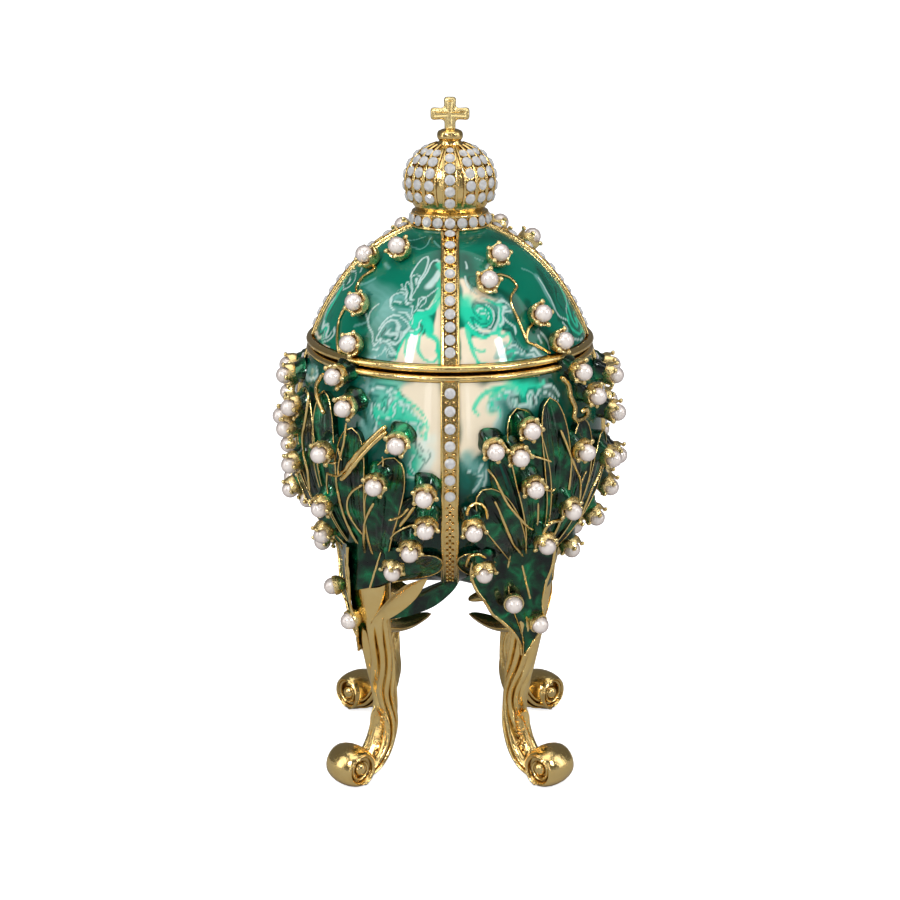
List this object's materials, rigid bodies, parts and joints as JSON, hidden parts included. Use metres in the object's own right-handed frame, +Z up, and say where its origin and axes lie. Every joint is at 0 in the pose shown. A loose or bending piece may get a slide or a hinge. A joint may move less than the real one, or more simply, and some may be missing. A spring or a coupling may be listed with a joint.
{
  "type": "jewelled egg trinket box",
  "caption": "Egg-shaped trinket box with a lift-off lid under a crown and cross, pearl flower sprays in relief, jewelled bands and scrolled legs.",
  "frame": {"origin": "on the surface that the box stands on, under the middle of the egg", "axes": "+Z up through the crown and cross, -Y towards the front, +X to the right of a viewer in front; the legs stand on the diagonals"},
  "size_m": [0.0656, 0.0651, 0.125],
  "materials": {
    "green_enamel": "glossy translucent green enamel over cast and gilt zinc alloy",
    "pale_gold": "polished pale gold plating on cast zinc alloy",
    "pearl": "imitation pearl with a soft lustre"
  },
  "bodies": {
    "root": {"bowl": "green_enamel", "crown": "pale_gold", "leg_back_left": "pale_gold", "leg_back_right": "pale_gold", "leg_front_left": "pale_gold", "leg_front_right": "pale_gold", "lid": "green_enamel", "pearl_bowl_front_left_a": "pearl", "pearl_bowl_front_left_b": "pearl", "pearl_bowl_front_left_c": "pearl", "pearl_bowl_front_left_d": "pearl", "pearl_bowl_front_left_e": "pearl", "pearl_bowl_front_left_f": "pearl", "pearl_bowl_front_left_g": "pearl", "pearl_bowl_front_left_h": "pearl", "pearl_bowl_front_left_i": "pearl", "pearl_bowl_front_left_j": "pearl", "pearl_bowl_front_left_k": "pearl", "pearl_bowl_front_left_l": "pearl", "pearl_bowl_front_left_m": "pearl", "pearl_bowl_front_left_n": "pearl", "pearl_bowl_front_left_o": "pearl", "pearl_bowl_front_left_p": "pearl", "pearl_bowl_front_left_q": "pearl", "pearl_bowl_front_left_side": "pearl", "pearl_bowl_front_right_a": "pearl", "pearl_bowl_front_right_b": "pearl", "pearl_bowl_front_right_c": "pearl", "pearl_bowl_front_right_d": "pearl", "pearl_bowl_front_right_e": "pearl", "pearl_bowl_front_right_f": "pearl", "pearl_bowl_front_right_g": "pearl", "pearl_bowl_front_right_h": "pearl", "pearl_bowl_front_right_i": "pearl", "pearl_bowl_front_right_j": "pearl", "pearl_bowl_front_right_k": "pearl", "pearl_bowl_front_right_l": "pearl", "pearl_bowl_front_right_m": "pearl", "pearl_bowl_front_right_n": "pearl", "pearl_bowl_front_right_o": "pearl", "pearl_bowl_front_right_p": "pearl", "pearl_bowl_front_right_q": "pearl", "pearl_bowl_front_right_side": "pearl", "pearl_leg_back_left_1": "pearl", "pearl_leg_back_left_2": "pearl", "pearl_leg_back_right_1": "pearl", "pearl_leg_back_right_2": "pearl", "pearl_leg_front_left_1": "pearl", "pearl_leg_front_left_2": "pearl", "pearl_leg_front_right_1": "pearl", "pearl_leg_front_right_2": "pearl", "pearl_lid_front_left_a": "pearl", "pearl_lid_front_left_b": "pearl", "pearl_lid_front_left_c": "pearl", "pearl_lid_front_left_d": "pearl", "pearl_lid_front_right_a": "pearl", "pearl_lid_front_right_b": "pearl", "pearl_lid_front_right_c": "pearl", "pearl_lid_front_right_d": "pearl"}
  },
  "joints": []
}
